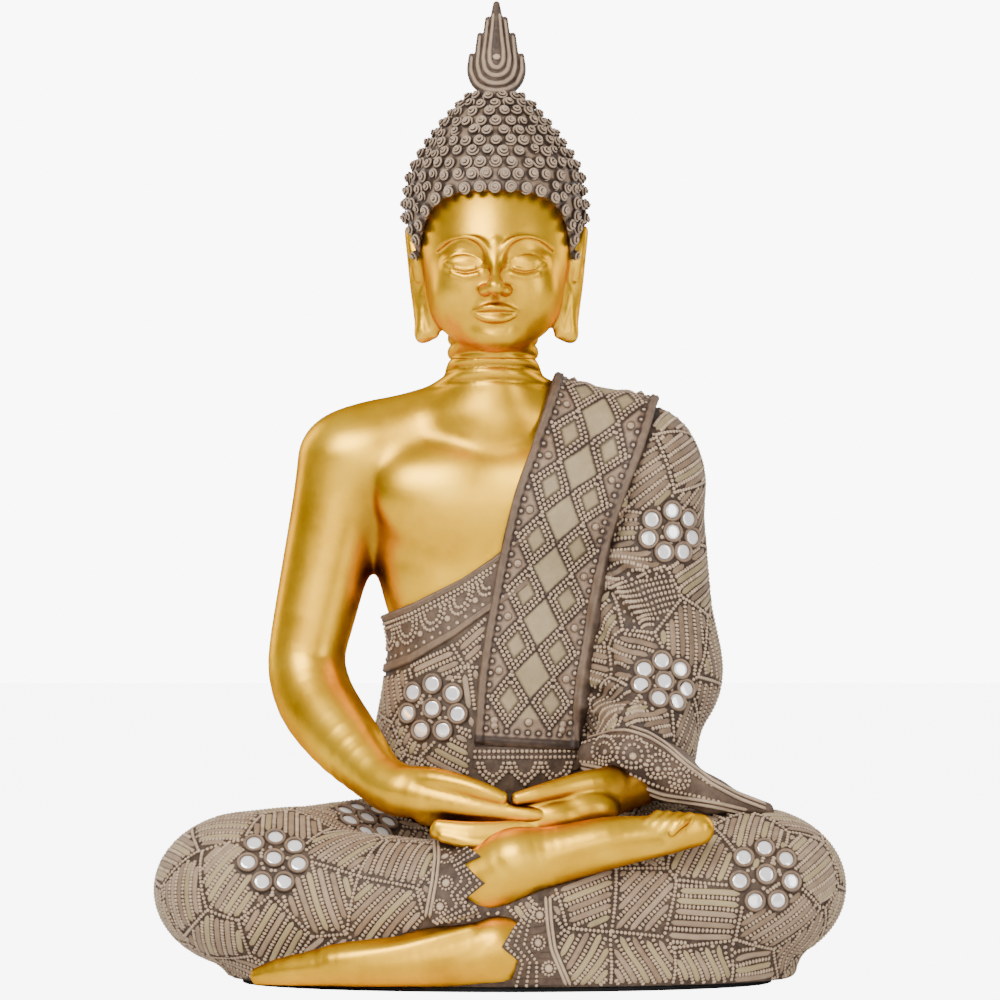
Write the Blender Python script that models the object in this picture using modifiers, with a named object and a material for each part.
"""Seated Buddha statue: a resin casting in sections, with glass mirror rounds let into its robe.

Metres, +Z up. The statue faces -Y, and the origin is on the underside of the base pad, below the neck.
Left and right in the names are the figure's own: its right arm, which is bare, is at -X.
"""

import math

import bmesh
import bpy
from mathutils import Matrix, Vector

# Driving dimensions
GAP = 0.0003
PAD_THICKNESS = 0.002
CASTING_FLOOR = PAD_THICKNESS + GAP
WALL = 0.007
NECK_SPLIT = 0.2600
SHOULDER_SPLIT = -0.056
CLOTH = 0.0021
RAISED_CLOTH = 0.0033
MIRROR_RADIUS = 0.0031
MIRROR_THICKNESS = 0.001
SOCKET_RADIUS = MIRROR_RADIUS + GAP
SOCKET_DEPTH = 0.0016
PETALS = 7
ROUND_SIDES = 10
FAR = 0.4

# A form is balls (centre, radii) and limbs (start, end, start radius, end radius) fused together.
LAP = {
    "balls": [
        ((0.002, 0.000, 0.010), (0.118, 0.071, 0.030)),
        ((0.000, 0.040, 0.048), (0.076, 0.037, 0.044)),
        ((-0.108, -0.006, 0.038), (0.0420, 0.045, 0.0375)),
        ((0.108, -0.006, 0.039), (0.0420, 0.045, 0.0375)),
    ],
    "limbs": [
        ((-0.048, 0.034, 0.046), (-0.098, -0.002, 0.040), 0.035, 0.034),
        ((0.048, 0.034, 0.046), (0.098, -0.002, 0.042), 0.035, 0.034),
        ((-0.100, -0.014, 0.037), (-0.016, -0.044, 0.034), 0.033, 0.026),
        ((0.100, -0.014, 0.036), (0.014, -0.042, 0.031), 0.034, 0.028),
    ],
}
TORSO = {
    "balls": [
        ((0.000, 0.024, 0.197), (0.0555, 0.032, 0.046)),
        ((0.000, 0.024, 0.140), (0.0445, 0.031, 0.052)),
        ((0.000, 0.028, 0.092), (0.0530, 0.036, 0.037)),
        ((-0.054, 0.026, 0.222), (0.025, 0.022, 0.0200)),
        ((0.052, 0.026, 0.222), (0.025, 0.023, 0.0205)),
    ],
    "limbs": [
        ((-0.003, 0.024, 0.243), (-0.048, 0.028, 0.229), 0.019, 0.018),
        ((-0.003, 0.024, 0.243), (0.048, 0.028, 0.229), 0.019, 0.018),
        ((-0.003, 0.022, 0.232), (-0.003, 0.018, 0.275), 0.0225, 0.0195),
    ],
}
TORSO_HOLLOW = {
    "balls": TORSO["balls"][:3],
    "limbs": [((0.000, 0.028, 0.096), (0.000, 0.024, 0.040), 0.038, 0.032)],
}
HEAD = {
    "balls": [
        ((-0.002, 0.014, 0.322), (0.033, 0.036, 0.034)),
        ((-0.002, 0.001, 0.301), (0.0310, 0.030, 0.033)),
        ((-0.002, -0.009, 0.2825), (0.0185, 0.017, 0.0155)),
    ],
    "limbs": [
        ((-0.003, 0.019, 0.250), (-0.003, 0.014, 0.290), 0.0195, 0.0195),
        ((-0.002, -0.027, 0.308), (-0.002, -0.032, 0.298), 0.0030, 0.0042),
        ((-0.039, 0.012, 0.312), (-0.037, 0.010, 0.294), 0.0058, 0.0052),
        ((-0.037, 0.010, 0.294), (-0.032, 0.008, 0.273), 0.0052, 0.0048),
        ((0.036, 0.012, 0.312), (0.034, 0.010, 0.294), 0.0058, 0.0052),
        ((0.034, 0.010, 0.294), (0.028, 0.008, 0.272), 0.0052, 0.0048),
    ],
}
HAIR = {
    "balls": [((-0.002, 0.016, 0.324), (0.0390, 0.042, 0.035))],
    "limbs": [
        ((-0.002, 0.017, 0.336), (-0.002, 0.017, 0.352), 0.0360, 0.0245),
        ((-0.002, 0.017, 0.352), (-0.002, 0.017, 0.370), 0.0245, 0.0095),
    ],
}
RIGHT_ARM = {
    "balls": [
        ((-0.066, 0.026, 0.218), (0.0205, 0.0215, 0.0225)),
        TORSO["balls"][3],
    ],
    "limbs": [
        ((-0.067, 0.026, 0.214), (-0.0815, 0.020, 0.139), 0.0200, 0.0172),
        ((-0.0815, 0.020, 0.139), (-0.0705, 0.004, 0.110), 0.0172, 0.0164),
        ((-0.0705, 0.004, 0.110), (-0.0535, -0.018, 0.0930), 0.0164, 0.0138),
        ((-0.0535, -0.018, 0.0930), (-0.0400, -0.035, 0.0830), 0.0138, 0.0110),
        ((-0.0400, -0.035, 0.0830), (-0.0150, -0.052, 0.0790), 0.0110, 0.0085),
        ((-0.0150, -0.052, 0.0790), (0.0110, -0.060, 0.0740), 0.0080, 0.0045),
        ((-0.0300, -0.040, 0.0880), (0.0010, -0.053, 0.0805), 0.0060, 0.0038),
    ],
}
LEFT_SLEEVE = {
    "balls": [
        ((0.0650, 0.024, 0.209), (0.0215, 0.024, 0.0300)),
        ((0.0690, 0.014, 0.132), (0.0265, 0.028, 0.0330)),
    ],
    "limbs": [
        ((0.0640, 0.024, 0.204), (0.0680, 0.018, 0.136), 0.0230, 0.0260),
        ((0.0670, 0.012, 0.128), (0.0600, -0.012, 0.104), 0.0250, 0.0180),
        ((0.0560, 0.020, 0.196), (0.0500, 0.012, 0.118), 0.0140, 0.0170),
    ],
}
LEFT_HAND = {
    "balls": [],
    "limbs": [
        ((0.0460, -0.032, 0.0840), (0.0280, -0.048, 0.0760), 0.0105, 0.0095),
        ((0.0280, -0.048, 0.0760), (-0.0020, -0.060, 0.0670), 0.0085, 0.0060),
        ((-0.0020, -0.060, 0.0670), (-0.0260, -0.061, 0.0670), 0.0060, 0.0042),
        ((0.0320, -0.040, 0.0850), (0.0075, -0.053, 0.0810), 0.0055, 0.0038),
    ],
}
RIGHT_FOOT = {
    "balls": [((0.000, -0.062, 0.0480), (0.0200, 0.0140, 0.0160))],
    "limbs": [
        ((-0.008, -0.058, 0.0430), (0.0330, -0.066, 0.0600), 0.0125, 0.0112),
        ((0.0330, -0.066, 0.0600), (0.0560, -0.062, 0.0650), 0.0112, 0.0096),
        ((0.0560, -0.062, 0.0650), (0.0810, -0.054, 0.0670), 0.0096, 0.0075),
    ],
}
LEFT_FOOT = {
    "balls": [],
    "limbs": [
        ((0.0060, -0.064, 0.0170), (-0.0250, -0.068, 0.0140), 0.0155, 0.0125),
        ((-0.0250, -0.068, 0.0140), (-0.0650, -0.064, 0.0110), 0.0125, 0.0095),
        ((-0.0650, -0.064, 0.0110), (-0.0950, -0.052, 0.0075), 0.0095, 0.0055),
    ],
}
CUFF = {
    "balls": [],
    "limbs": [
        ((0.0400, -0.020, 0.0940), (0.0560, -0.028, 0.0960), 0.0070, 0.0100),
        ((0.0560, -0.028, 0.0960), (0.0720, -0.026, 0.0890), 0.0100, 0.0090),
        ((0.0720, -0.026, 0.0890), (0.0900, -0.022, 0.0810), 0.0090, 0.0060),
        ((0.0900, -0.022, 0.0810), (0.1100, -0.014, 0.0740), 0.0060, 0.0035),
    ],
}
FLAME_FOOT = ((-0.0015, 0.017, 0.3750), (-0.0015, 0.017, 0.3860), 0.0062, 0.0085)
FLAME_BUD = ((-0.0015, 0.017, 0.3860), (0.0112, 0.0062, 0.0085))
# Each pair of tongues beside the flame's middle: its offset, the height of its tip and its tip's radius.
FLAME_TONGUES = [(0.0000, 0.4160, 0.0016), (0.0036, 0.4090, 0.0014), (0.0070, 0.4020, 0.0013), (0.0098, 0.3930, 0.0013)]

# Outlines of the cloth pieces, seen from the front, as (x, z).
SASH_OUTLINE = [
    (0.0255, 0.290), (0.0250, 0.2565), (0.0145, 0.2340), (0.0075, 0.2155), (0.0008, 0.1875),
    (-0.0035, 0.1655), (-0.0073, 0.1425), (-0.0106, 0.1172), (-0.0115, 0.0996),
    (0.0341, 0.0996), (0.0341, 0.1275), (0.0368, 0.1485), (0.0433, 0.1755),
    (0.0520, 0.2007), (0.0592, 0.2190), (0.0680, 0.2430), (0.0690, 0.290),
]
FRINGE_OUTLINE = [
    (-0.0115, 0.0985), (-0.0118, 0.0900), (-0.0040, 0.0825), (0.0035, 0.0895), (0.0110, 0.0825),
    (0.0185, 0.0895), (0.0260, 0.0825), (0.0345, 0.0900), (0.0341, 0.0985),
]
BAND_OUTLINE = [
    (-0.0800, 0.1435), (-0.0495, 0.1555), (-0.0380, 0.1600), (-0.0170, 0.1705), (-0.0030, 0.1795),
    (-0.0070, 0.1555), (-0.0195, 0.1463), (-0.0380, 0.1352), (-0.0800, 0.1180),
]
WRAP_OUTLINE = [
    (-0.0800, 0.1180), (-0.0380, 0.1352), (-0.0195, 0.1463), (-0.0070, 0.1555), (0.0300, 0.2000),
    (0.0500, 0.2600), (0.1000, 0.2600), (0.1000, 0.0700), (-0.0800, 0.0700),
]
RIGHT_HEM_OUTLINE = [
    (-0.0270, 0.0560), (-0.0240, 0.0450), (-0.0250, 0.0350), (-0.0290, 0.0250), (-0.0180, 0.0300),
    (-0.0150, 0.0360), (-0.0070, 0.0420), (-0.0130, 0.0470), (-0.0060, 0.0540), (-0.0140, 0.0580),
]
LEFT_HEM_OUTLINE = [
    (0.0200, 0.0380), (0.0210, 0.0200), (0.0270, 0.0023), (0.0100, 0.0023), (0.0120, 0.0090),
    (0.0030, 0.0150), (0.0100, 0.0210), (0.0050, 0.0280), (0.0120, 0.0330),
]
# Mirror flowers: the piece that each is set in, its middle from the front as (x, z), and its ring's radius.
FLOWERS = {
    "waist": ("robe_wrap", (-0.0262, 0.1160), 0.0096),
    "upper_arm": ("sleeve_casting", (0.0725, 0.1905), 0.0094),
    "lower_arm": ("sleeve_casting", (0.0688, 0.1272), 0.0094),
    "right_knee": ("lap_casting", (-0.0945, 0.0535), 0.0108),
    "left_knee": ("lap_casting", (0.1105, 0.0475), 0.0108),
}

# Base colour, roughness and metallic value of each material.
LOOKS = {
    "gold_paint": ((0.72, 0.44, 0.10, 1), 0.30, 1.0),
    "robe_paint": ((0.33, 0.26, 0.21, 1), 0.70, 0.0),
    "trim_paint": ((0.25, 0.19, 0.15, 1), 0.70, 0.0),
    "hair_paint": ((0.27, 0.22, 0.18, 1), 0.65, 0.0),
    "mirror_glass": ((0.90, 0.90, 0.90, 1), 0.03, 1.0),
    "pad_felt": ((0.02, 0.02, 0.02, 1), 0.95, 0.0),
    "dowel_steel": ((0.60, 0.60, 0.62, 1), 0.35, 1.0),
}


def clear_scene():
    for obj in list(bpy.data.objects):
        bpy.data.objects.remove(obj)


def new_collection(name, hidden=False):
    collection = bpy.data.collections.new(name)
    collection.hide_render = hidden
    bpy.context.scene.collection.children.link(collection)
    return collection


def make_material(name):
    colour, roughness, metallic = LOOKS[name]
    material = bpy.data.materials.new(name)
    material.use_nodes = True
    shader = material.node_tree.nodes["Principled BSDF"]
    shader.inputs["Base Color"].default_value = colour
    shader.inputs["Roughness"].default_value = roughness
    shader.inputs["Metallic"].default_value = metallic
    material.diffuse_color = colour
    return material


def place(mesh, name, material=None):
    """A new object of this mesh: a part if it has a material, and otherwise a cutter."""
    obj = bpy.data.objects.new(name, mesh)
    if material:
        PARTS.objects.link(obj)
        mesh.materials.append(MATERIALS[material])
    else:
        CUTTERS.objects.link(obj)
        obj.hide_render = True
        obj.display_type = "WIRE"
    return obj


def finish_mesh(bm, name):
    mesh = bpy.data.meshes.new(name)
    bm.to_mesh(mesh)
    bm.free()
    return mesh


def circle_angles(count, start=0.0):
    return [start + 2 * math.pi * i / count for i in range(count)]


def along_line(start, end):
    """The matrix that stands a Z-axis primitive between two points."""
    along = end - start
    return Matrix.Translation((start + end) / 2) @ along.to_track_quat("Z", "Y").to_matrix().to_4x4()


def add_ball(bm, centre, radii):
    matrix = Matrix.Translation(centre) @ Matrix.Diagonal((*radii, 1))
    bmesh.ops.create_uvsphere(bm, u_segments=32, v_segments=20, radius=1, matrix=matrix)


def add_limb(bm, start, end, start_radius, end_radius):
    start, end = Vector(start), Vector(end)
    bmesh.ops.create_cone(
        bm, cap_ends=True, segments=32, radius1=start_radius, radius2=end_radius,
        depth=(end - start).length, matrix=along_line(start, end),
    )
    add_ball(bm, start, (start_radius,) * 3)
    add_ball(bm, end, (end_radius,) * 3)


def form(name, shape, material=None, voxel=0.006, soften=6, keep=1.0, inset=0.0):
    """Balls and limbs fused into one soft body. An inset makes every one smaller, for a hollow."""
    bm = bmesh.new()
    for centre, radii in shape["balls"]:
        add_ball(bm, centre, [radius - inset for radius in radii])
    for start, end, start_radius, end_radius in shape["limbs"]:
        add_limb(bm, start, end, start_radius - inset, end_radius - inset)
    obj = place(finish_mesh(bm, name), name, material)
    add_fusing(obj, voxel, soften, keep)
    return obj


def add_fusing(obj, voxel, soften, keep):
    """The modifiers that fuse the balls and limbs. The last one fixes how each face splits into triangles."""
    fuse = obj.modifiers.new("fuse", "REMESH")
    fuse.mode = "VOXEL"
    fuse.voxel_size = voxel
    smooth = obj.modifiers.new("soften", "SMOOTH")
    smooth.factor = 0.5
    smooth.iterations = soften
    if keep < 1:
        thin = obj.modifiers.new("thin", "DECIMATE")
        thin.ratio = keep
    split = obj.modifiers.new("split", "TRIANGULATE")
    split.quad_method = "FIXED"
    obj["fusing"] = (voxel, soften, keep)


def grow(source, distance, name, material=None):
    """A new object with the source's outer surface before any cut, moved out by a distance."""
    mesh = source.data.copy()
    mesh.materials.clear()
    obj = place(mesh, name, material)
    voxel, soften, keep = source["fusing"]
    add_fusing(obj, voxel, int(soften), keep)
    move = obj.modifiers.new("grow", "DISPLACE")
    move.strength = distance
    move.mid_level = 0
    return obj


def combine(obj, operation, *others):
    """Boolean modifiers. The cutters lie so near the surfaces that they clear that EXACT can lose a body."""
    for other in others:
        step = obj.modifiers.new(f"{operation.lower()}_{other.name}", "BOOLEAN")
        step.operation = operation
        step.object = other
        step.solver = "MANIFOLD"


def block(name, low, high):
    low, high = Vector(low), Vector(high)
    bm = bmesh.new()
    matrix = Matrix.Translation((low + high) / 2) @ Matrix.Diagonal((*(high - low), 1))
    bmesh.ops.create_cube(bm, size=1, matrix=matrix)
    return place(finish_mesh(bm, name), name)


def rod(name, start, end, radius, material=None):
    """A straight round bar with flat ends."""
    start, end = Vector(start), Vector(end)
    bm = bmesh.new()
    bmesh.ops.create_cone(
        bm, cap_ends=True, segments=ROUND_SIDES, radius1=radius, radius2=radius,
        depth=(end - start).length, matrix=along_line(start, end),
    )
    mesh = finish_mesh(bm, name)
    mesh.shade_smooth()
    mesh.set_sharp_from_angle(angle=math.radians(40))
    return place(mesh, name, material)


def plate(name, outline, thickness, matrix, material=None):
    """A flat outline extruded both ways from its plane, as a welded mesh that Booleans take."""
    curve = bpy.data.curves.new(name, "CURVE")
    curve.dimensions = "2D"
    curve.fill_mode = "BOTH"
    curve.extrude = thickness / 2
    spline = curve.splines.new("POLY")
    spline.points.add(len(outline) - 1)
    for knot, point in zip(spline.points, outline, strict=True):
        knot.co = (*point, 0, 1)
    spline.use_cyclic_u = True
    helper = bpy.data.objects.new(name + "_curve", curve)
    CUTTERS.objects.link(helper)
    bpy.context.view_layer.update()
    graph = bpy.context.evaluated_depsgraph_get()
    mesh = bpy.data.meshes.new_from_object(helper.evaluated_get(graph))
    bpy.data.objects.remove(helper)
    bm = bmesh.new()
    bm.from_mesh(mesh)
    bmesh.ops.remove_doubles(bm, verts=bm.verts, dist=1e-5)
    bmesh.ops.recalc_face_normals(bm, faces=bm.faces)
    bm.to_mesh(mesh)
    bm.free()
    mesh.transform(matrix)
    return place(mesh, name, material)


def prism(name, outline, front=-FAR, back=FAR):
    """A cutter with this (x, z) outline that runs from front to back."""
    turn = Matrix.Translation((0, (front + back) / 2, 0)) @ Matrix.Rotation(math.radians(90), 4, "X")
    return plate(name, outline, back - front, turn)


def oval(centre, radii, sides=40):
    return [
        (centre[0] + radii[0] * math.cos(angle), centre[1] + radii[1] * math.sin(angle))
        for angle in circle_angles(sides)
    ]


def widened(outline, distance):
    """The outline with every edge moved out by a distance."""
    points = [Vector(point) for point in outline]
    area = sum(a.cross(b) for a, b in zip(points, points[1:] + points[:1], strict=True))
    side = 1 if area > 0 else -1
    moved = []
    for i, point in enumerate(points):
        before = (point - points[i - 1]).normalized()
        after = (points[(i + 1) % len(points)] - point).normalized()
        out_before = Vector((before.y, -before.x)) * side
        out_after = Vector((after.y, -after.x)) * side
        out = (out_before + out_after).normalized()
        moved.append(tuple(point + out * distance / max(out.dot(out_after), 0.5)))
    return moved


def cloth(name, body, outline, thickness, material, back=FAR):
    """Cloth of even thickness, a gap off the body, inside an outline seen from the front."""
    shell = grow(body, GAP + thickness, name, material)
    combine(shell, "INTERSECT", prism(name + "_outline", outline, back=back))
    combine(shell, "DIFFERENCE", grow(body, GAP, name + "_inside"))
    return shell


def room(name, body, outline, thickness, back=FAR):
    """The cutter that clears a cloth piece, with a gap all round it."""
    cutter = grow(body, 2 * GAP + thickness, name)
    combine(cutter, "INTERSECT", prism(name + "_outline", widened(outline, GAP), back=back))
    return cutter


def make_flame():
    """The flame finial: a bud on a short foot, with tongues that are taller towards the middle."""
    x, y, z = FLAME_BUD[0]
    limbs = [FLAME_FOOT]
    for offset, tip, radius in FLAME_TONGUES:
        for side in (-1, 1):
            start = (x + side * offset * 0.8, y, z - 0.001)
            limbs.append((start, (x + side * offset, y, tip), 0.0042, radius))
    return form(
        "finial_flame", {"balls": [FLAME_BUD], "limbs": limbs}, "hair_paint",
        voxel=0.0016, soften=2, keep=0.15,
    )


def surface_at(body, point, direction):
    """Where a ray first meets the body, and the outward normal there."""
    hit, where, normal, _ = body.ray_cast(Vector(point), Vector(direction))
    if not hit:
        raise ValueError(f"nothing to set a mirror in at {point}")
    return where, normal


def petal_aims(middle, normal, reach, count, start=0.0):
    """Points on a circle round the middle, in the plane that the normal is square to."""
    side = Vector((0, 0, 1)).cross(normal).normalized()
    up = normal.cross(side)
    return [middle + (side * math.cos(a) + up * math.sin(a)) * reach for a in circle_angles(count, start)]


def mirror_seats(body, centre, reach):
    """The point and outward normal of each mirror of a flower: the middle one and the ring."""
    middle, normal = surface_at(body, (centre[0], -FAR, centre[1]), (0, 1, 0))
    patch = [surface_at(body, aim + normal * 0.02, -normal) for aim in petal_aims(middle, normal, reach * 0.7, 8)]
    normal = sum((tilt for _, tilt in patch), normal).normalized()
    seats = [(middle, normal)]
    for aim in petal_aims(middle, normal, reach, PETALS, math.radians(90)):
        point, tilt = surface_at(body, aim + normal * 0.02, -normal)
        seats.append((point, (normal + tilt).normalized()))
    return seats


def set_mirrors(bodies):
    """Glass rounds, each let into its own round socket."""
    bpy.context.view_layer.update()
    graph = bpy.context.evaluated_depsgraph_get()
    evaluated = {name: body.evaluated_get(graph) for name, body in bodies.items()}
    seats = {
        flower: mirror_seats(evaluated[body], centre, reach)
        for flower, (body, centre, reach) in FLOWERS.items()
    }
    for flower, (body, _, _) in FLOWERS.items():
        for i, (point, normal) in enumerate(seats[flower]):
            floor = point - normal * SOCKET_DEPTH
            socket = rod(f"socket_{flower}_{i}", floor, point + normal * 0.004, SOCKET_RADIUS)
            combine(bodies[body], "DIFFERENCE", socket)
            back = floor + normal * GAP
            rod(f"mirror_{flower}_{i}", back, back + normal * MIRROR_THICKNESS, MIRROR_RADIUS, "mirror_glass")


def make_pad():
    thick = Matrix.Translation((0, 0, PAD_THICKNESS / 2))
    plate("base_pad", oval((0.003, 0), (0.112, 0.067)), PAD_THICKNESS, thick, "pad_felt")


def drill(name, start, end, radius, *bodies):
    """A steel dowel in a blind hole through the bodies that it joins."""
    start, end = Vector(start), Vector(end)
    along = (end - start).normalized()
    rod(name, start, end, radius, "dowel_steel")
    combine_hole = rod(name + "_hole", start - along * GAP, end + along * GAP, radius + GAP)
    for body in bodies:
        combine(body, "DIFFERENCE", combine_hole)


def build():
    make_pad()
    lap = form("lap_casting", LAP, "robe_paint", voxel=0.0155, soften=2)
    torso = form("torso_casting", TORSO, "gold_paint", voxel=0.0125, soften=1)
    head = form("head_casting", HEAD, "gold_paint", voxel=0.0040, soften=2, keep=0.18)
    hair = form("hair_casting", HAIR, "hair_paint", voxel=0.0115, soften=1)
    flame = make_flame()
    arm = form("right_arm_casting", RIGHT_ARM, "gold_paint", voxel=0.0042, soften=3, keep=0.16)
    sleeve = form("sleeve_casting", LEFT_SLEEVE, "robe_paint", voxel=0.013, soften=2)
    cuff = form("sleeve_cuff", CUFF, "trim_paint", voxel=0.004, soften=4, keep=0.35)
    hand = form("left_hand_casting", LEFT_HAND, "gold_paint", voxel=0.003, soften=3, keep=0.16)
    right_foot = form("right_foot_casting", RIGHT_FOOT, "gold_paint", voxel=0.0040, soften=3, keep=0.20)
    left_foot = form("left_foot_casting", LEFT_FOOT, "gold_paint", voxel=0.0040, soften=3, keep=0.20)

    sash = cloth("sash_panel", torso, SASH_OUTLINE, RAISED_CLOTH, "trim_paint")
    fringe = cloth("sash_fringe", torso, FRINGE_OUTLINE, RAISED_CLOTH, "trim_paint", back=0)
    band = cloth("chest_band", torso, BAND_OUTLINE, RAISED_CLOTH, "trim_paint")
    wrap = cloth("robe_wrap", torso, WRAP_OUTLINE, CLOTH, "robe_paint")
    right_hem = cloth("right_ankle_hem", lap, RIGHT_HEM_OUTLINE, CLOTH, "trim_paint", back=-0.045)
    left_hem = cloth("left_ankle_hem", lap, LEFT_HEM_OUTLINE, CLOTH, "trim_paint", back=-0.045)

    lap_room = grow(lap, GAP, "lap_room")
    torso_room = grow(torso, GAP, "torso_room")
    wrap_room = grow(torso, 2 * GAP + CLOTH, "wrap_room")
    sash_room = room("sash_room", torso, SASH_OUTLINE, RAISED_CLOTH)
    fringe_room = room("fringe_room", torso, FRINGE_OUTLINE, RAISED_CLOTH, back=0)
    right_hem_room = room("right_hem_room", lap, RIGHT_HEM_OUTLINE, CLOTH, back=-0.045)
    left_hem_room = room("left_hem_room", lap, LEFT_HEM_OUTLINE, CLOTH, back=-0.045)
    below_floor = block("below_floor", (-FAR, -FAR, -FAR), (FAR, FAR, CASTING_FLOOR))
    below_neck = block("below_neck", (-FAR, -FAR, 0), (FAR, FAR, NECK_SPLIT + GAP / 2))
    above_neck = block("above_neck", (-FAR, -FAR, NECK_SPLIT - GAP / 2), (FAR, FAR, 2 * FAR))
    beyond_shoulder = block("beyond_shoulder", (-FAR, -FAR, 0), (SHOULDER_SPLIT, FAR, FAR))
    inside_shoulder = block("inside_shoulder", (SHOULDER_SPLIT - GAP, 0, 0.165), (FAR, FAR, FAR))

    lap_hollow = form("lap_hollow", LAP, voxel=0.020, soften=1, inset=WALL)
    torso_hollow = form("torso_hollow", TORSO_HOLLOW, voxel=0.018, soften=1, inset=WALL)
    combine(lap, "DIFFERENCE", below_floor, lap_hollow, torso_hollow)
    combine(torso, "DIFFERENCE", lap_room, above_neck, beyond_shoulder, torso_hollow)

    combine(head, "DIFFERENCE", below_neck)
    combine(hair, "DIFFERENCE", grow(head, GAP, "head_room"))
    combine(hair, "DIFFERENCE", prism("face_opening", oval((-0.002, 0.293), (0.031, 0.043)), back=0.004))
    combine(hair, "DIFFERENCE", block("below_hair", (-FAR, -FAR, 0), (FAR, FAR, 0.287)))
    combine(flame, "DIFFERENCE", grow(hair, GAP, "hair_room"))
    drill("neck_dowel", (-0.003, 0.021, 0.2400), (-0.003, 0.017, 0.2680), 0.003, torso, head)

    combine(arm, "DIFFERENCE", inside_shoulder, lap_room)
    combine(sash, "DIFFERENCE", lap_room)
    combine(fringe, "DIFFERENCE", lap_room)
    combine(band, "DIFFERENCE", grow(arm, GAP, "arm_room"), sash_room)
    combine(wrap, "DIFFERENCE", prism("sash_slot", widened(SASH_OUTLINE, GAP)), lap_room)
    combine(wrap, "DIFFERENCE", prism("band_slot", widened(BAND_OUTLINE, GAP)))
    combine(wrap, "DIFFERENCE", prism("fringe_slot", widened(FRINGE_OUTLINE, GAP), back=0))
    combine(sleeve, "DIFFERENCE", lap_room, wrap_room, sash_room)
    combine(cuff, "DIFFERENCE", lap_room, wrap_room, fringe_room, sash_room, grow(sleeve, GAP, "sleeve_room"))
    combine(hand, "DIFFERENCE", bpy.data.objects["arm_room"], grow(cuff, GAP, "cuff_room"))
    combine(hand, "DIFFERENCE", bpy.data.objects["sleeve_room"], lap_room)
    combine(right_hem, "DIFFERENCE", below_floor)
    combine(left_hem, "DIFFERENCE", below_floor)
    combine(right_foot, "DIFFERENCE", lap_room, right_hem_room, grow(hand, GAP, "hand_room"))
    combine(left_foot, "DIFFERENCE", lap_room, left_hem_room, right_hem_room, below_floor)
    set_mirrors({"robe_wrap": wrap, "sleeve_casting": sleeve, "lap_casting": lap})


clear_scene()
PARTS = new_collection("buddha_statue")
CUTTERS = new_collection("cutters", hidden=True)
MATERIALS = {name: make_material(name) for name in LOOKS}
build()
